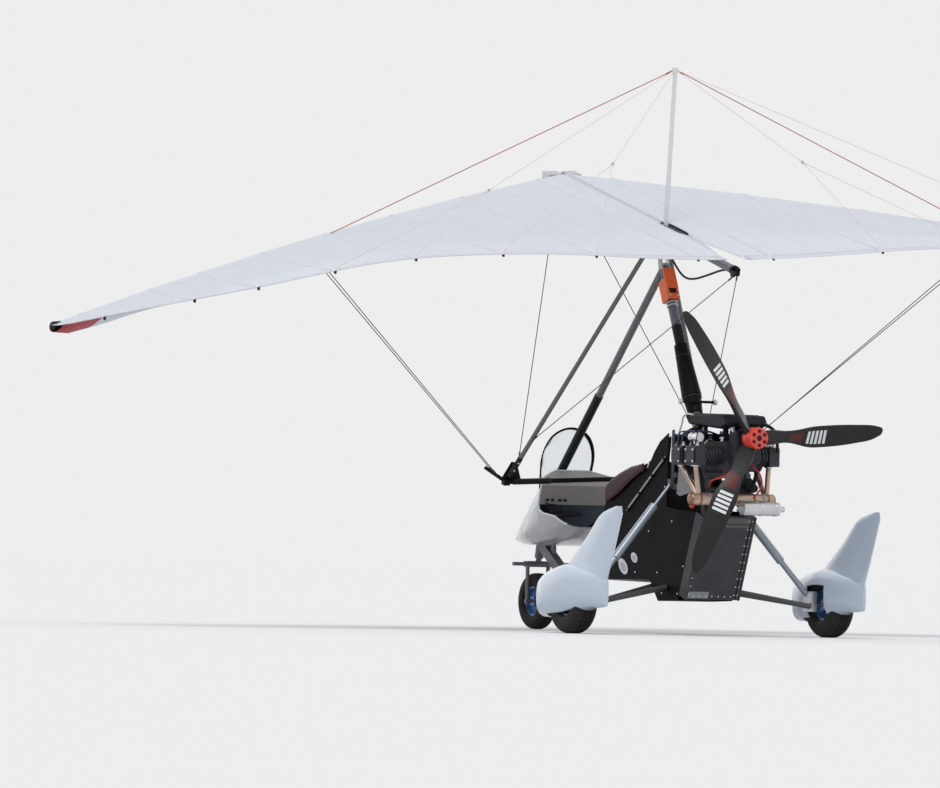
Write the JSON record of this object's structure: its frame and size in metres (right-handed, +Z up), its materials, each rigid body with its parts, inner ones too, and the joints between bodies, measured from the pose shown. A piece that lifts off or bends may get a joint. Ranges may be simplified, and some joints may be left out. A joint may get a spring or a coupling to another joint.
{
  "type": "flexwing microlight aircraft",
  "caption": "Weight-shift microlight: a swept fabric wing with a kingpost, hinged over a three-wheeled open trike with a pusher propeller.",
  "frame": {"origin": "on the ground, on the centre line, halfway along the craft's length", "axes": "+X to the aircraft's left, along the span; +Y aft, along its length; +Z up"},
  "size_m": [8.9931, 2.8821, 3.3153],
  "materials": {
    "frame_grey": "satin",
    "leg_tube": "satin",
    "metal_fitting": "satin",
    "black_trim": "satin",
    "orange_clamp": "satin",
    "engine_metal": "satin",
    "carburettor_silver": "gloss",
    "dash_grey": "satin",
    "screen_clear": "gloss",
    "exhaust_bronze": "satin",
    "silencer_silver": "satin",
    "radiator_grey": "satin",
    "pod_silver": "gloss",
    "seat_black": "matte",
    "fairing_black": "gloss",
    "spat_blue": "gloss",
    "tyre_black": "matte",
    "rim_blue": "satin",
    "hub_red": "satin",
    "blade_black": "satin",
    "sail_white": "matte",
    "stay_red": "satin",
    "stay_dark": "satin"
  },
  "bodies": {
    "trike": {"chassis_beam": "frame_grey", "front_strut": "frame_grey", "mast": "frame_grey", "mast_head": "metal_fitting", "mast_fairing": "black_trim", "mast_clamp": "orange_clamp", "engine_block": "engine_metal", "cylinders": "engine_metal", "engine_mount": "leg_tube", "airbox": "black_trim", "carburettors": "carburettor_silver", "exhaust": "exhaust_bronze", "silencer": "silencer_silver", "radiator": "radiator_grey", "pod": "pod_silver", "pod_frame": "frame_grey", "dash_panel": "dash_grey", "windscreen": "screen_clear", "windscreen_rim": "black_trim", "seat_front": "seat_black", "seat_rear": "seat_black", "seat_frame": "frame_grey", "tail_fairing": "fairing_black", "leg_left": "leg_tube", "leg_right": "leg_tube", "lower_arms_left": "leg_tube", "lower_arms_right": "leg_tube", "hub_carrier_left": "metal_fitting", "hub_carrier_right": "metal_fitting", "spat_left": "spat_blue", "spat_right": "spat_blue"},
    "fork": {"fork": "frame_grey"},
    "front_wheel": {"front_tyre": "tyre_black", "front_rim": "rim_blue"},
    "rear_wheel_left": {"rear_tyre_left": "tyre_black", "rear_rim_left": "rim_blue"},
    "rear_wheel_right": {"rear_tyre_right": "tyre_black", "rear_rim_right": "rim_blue"},
    "propeller": {"propeller_hub": "hub_red", "propeller_blades": "blade_black"},
    "hang_block": {"hang_block": "metal_fitting"},
    "wing": {"sail_left": "sail_white", "sail_right": "sail_white", "keel_tube": "frame_grey", "keel_tail": "black_trim", "nose_cap": "metal_fitting", "kingpost": "metal_fitting", "a_frame_head": "metal_fitting", "downtube_left": "frame_grey", "downtube_right": "frame_grey", "base_bar": "black_trim", "upper_stays": "stay_red", "lower_stays": "stay_dark", "keel_cord": "black_trim"}
  },
  "joints": [
    {"name": "steering", "type": "hinge", "parent": "trike", "child": "fork", "pos_m": [0, -1.12, 0.7], "axis": [0, 0.2425, 0.9701], "range_deg": [-20, 20]},
    {"name": "front_wheel_spin", "type": "hinge", "parent": "fork", "child": "front_wheel", "pos_m": [0, -1.196, 0.168], "axis": [1, 0, 0], "continuous": true},
    {"name": "rear_wheel_left_spin", "type": "hinge", "parent": "trike", "child": "rear_wheel_left", "pos_m": [0.86, 0.78, 0.19], "axis": [1, 0, 0], "continuous": true},
    {"name": "rear_wheel_right_spin", "type": "hinge", "parent": "trike", "child": "rear_wheel_right", "pos_m": [-0.86, 0.78, 0.19], "axis": [1, 0, 0], "continuous": true},
    {"name": "propeller_spin", "type": "hinge", "parent": "trike", "child": "propeller", "pos_m": [0, 1.34, 1.148], "axis": [0, 1, 0], "continuous": true},
    {"name": "wing_pitch", "type": "hinge", "parent": "trike", "child": "hang_block", "pos_m": [0, 0.23, 2.235], "axis": [1, 0, 0], "range_deg": [-10, 12]},
    {"name": "wing_roll", "type": "hinge", "parent": "hang_block", "child": "wing", "pos_m": [0, 0.22933, 2.28291], "axis": [0, 0.9613, -0.2756], "range_deg": [-14.7, 9.3]}
  ]
}
